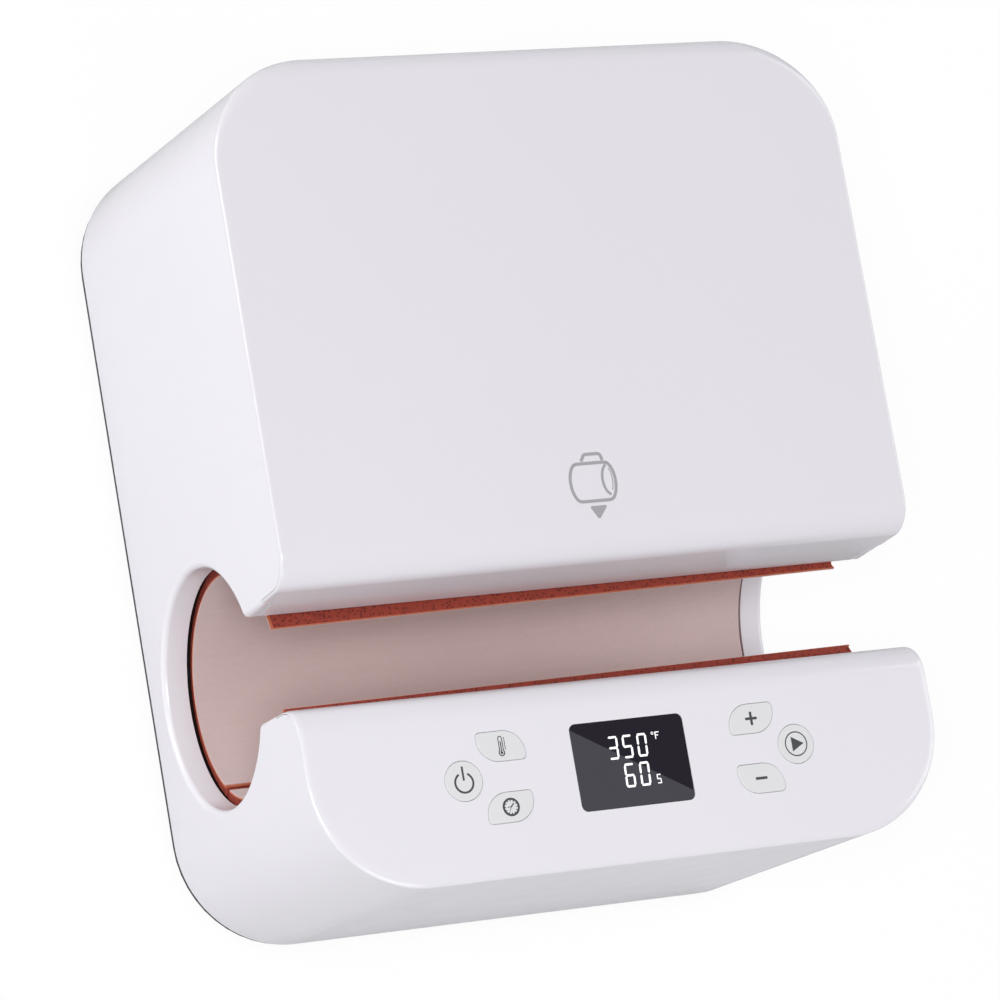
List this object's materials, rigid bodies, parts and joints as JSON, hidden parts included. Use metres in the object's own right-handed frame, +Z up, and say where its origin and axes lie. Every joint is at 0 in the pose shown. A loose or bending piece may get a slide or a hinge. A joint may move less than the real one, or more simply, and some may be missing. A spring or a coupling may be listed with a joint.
{
  "type": "tumbler heat press",
  "caption": "Low rounded heat press with a round heated chamber through both cheeks, a slot above it for a mug handle, a swinging rear mat and a panel with a display and keys.",
  "frame": {"origin": "centre of the footprint, on the surface the feet stand on", "axes": "+X along the chamber, towards the right cheek as seen from the control panel side; +Y towards the rear wall; +Z up"},
  "size_m": [0.28, 0.334, 0.16],
  "materials": {
    "shell": "smooth gloss white",
    "cover": "high gloss white",
    "base": "fine grain dark grey",
    "foot": "matt",
    "screw": "zinc plated",
    "mat": "fine woven cloth on silicone",
    "sponge": "open pored silicone sponge",
    "sheet": "bare sheet",
    "steel": "machined",
    "bronze": "sintered",
    "gear": "moulded natural nylon",
    "can": "plated",
    "dark_part": "moulded black",
    "board": "green solder mask",
    "winding": "taped core",
    "sink": "extruded",
    "window": "smoked, polished",
    "key": "satin translucent grey"
  },
  "bodies": {
    "housing": {"side_shell": "shell", "rear_cover": "cover", "control_panel": "cover", "base_plate": "base", "foot_front_left": "foot", "foot_front_right": "foot", "foot_rear_right": "foot", "foot_rear_left": "foot", "base_screw_1": "screw", "base_screw_2": "screw", "base_screw_3": "screw", "base_screw_4": "screw", "base_screw_5": "screw", "base_screw_6": "screw", "heating_mat_bottom": "mat", "sponge_pad_bottom": "sponge", "heating_mat_front": "mat", "sponge_pad_front": "sponge", "cradle_saddle_left": "sheet", "hinge_bracket_left": "sheet", "bearing_stand_left": "sheet", "shaft_bush_left": "bronze", "cradle_saddle_right": "sheet", "hinge_bracket_right": "sheet", "bearing_stand_right": "sheet", "shaft_bush_right": "bronze", "fixed_cradle": "sheet", "hinge_pin": "steel", "gearbox": "can", "motor": "can", "motor_bracket": "sheet", "limit_switch": "dark_part", "thermal_cutout": "dark_part", "power_board": "board", "transformer": "winding", "heat_sink": "sink", "power_inlet": "dark_part", "control_board": "board", "display_module": "dark_part", "display_window": "window"},
    "arm": {"swing_arm": "sheet", "sector_rack_left": "steel", "sector_rack_right": "steel", "heating_mat_rear": "mat", "sponge_pad_rear": "sponge", "temperature_sensor": "dark_part"},
    "shaft": {"cross_shaft": "steel", "pinion_left": "steel", "pinion_right": "steel", "shaft_gear": "gear"},
    "motor_drive": {"motor_pinion": "steel"},
    "power_key": {"power_key": "key"},
    "start_key": {"start_key": "key"},
    "temperature_key": {"temperature_key": "key"},
    "time_key": {"time_key": "key"},
    "plus_key": {"plus_key": "key"},
    "minus_key": {"minus_key": "key"}
  },
  "joints": [
    {"name": "arm_swing", "type": "hinge", "parent": "housing", "child": "arm", "pos_m": [0, -0.047, 0.0165], "axis": [1, 0, 0], "range_deg": [0, 8]},
    {"name": "shaft_turn", "type": "hinge", "parent": "housing", "child": "shaft", "pos_m": [0, 0.01121, 0.08115], "axis": [1, 0, 0], "range_deg": [-70, 0]},
    {"name": "motor_turn", "type": "hinge", "parent": "housing", "child": "motor_drive", "pos_m": [0, 0.04081, 0.07038], "axis": [1, 0, 0], "range_deg": [0, 175]},
    {"name": "power_press", "type": "slide", "parent": "housing", "child": "power_key", "axis": [0, 0, -1], "range_m": [0, 0.0008], "stiffness_N_per_m": 300, "springref_m": -0.0004},
    {"name": "start_press", "type": "slide", "parent": "housing", "child": "start_key", "axis": [0, 0, -1], "range_m": [0, 0.0008], "stiffness_N_per_m": 300, "springref_m": -0.0004},
    {"name": "temperature_press", "type": "slide", "parent": "housing", "child": "temperature_key", "axis": [0, 0, -1], "range_m": [0, 0.0008], "stiffness_N_per_m": 300, "springref_m": -0.0004},
    {"name": "time_press", "type": "slide", "parent": "housing", "child": "time_key", "axis": [0, 0, -1], "range_m": [0, 0.0008], "stiffness_N_per_m": 300, "springref_m": -0.0004},
    {"name": "plus_press", "type": "slide", "parent": "housing", "child": "plus_key", "axis": [0, 0, -1], "range_m": [0, 0.0008], "stiffness_N_per_m": 300, "springref_m": -0.0004},
    {"name": "minus_press", "type": "slide", "parent": "housing", "child": "minus_key", "axis": [0, 0, -1], "range_m": [0, 0.0008], "stiffness_N_per_m": 300, "springref_m": -0.0004}
  ],
  "couplings": [
    {"joint": "shaft_turn", "follows": "arm_swing", "ratio": -8.6667},
    {"joint": "motor_turn", "follows": "arm_swing", "ratio": 21.667}
  ]
}
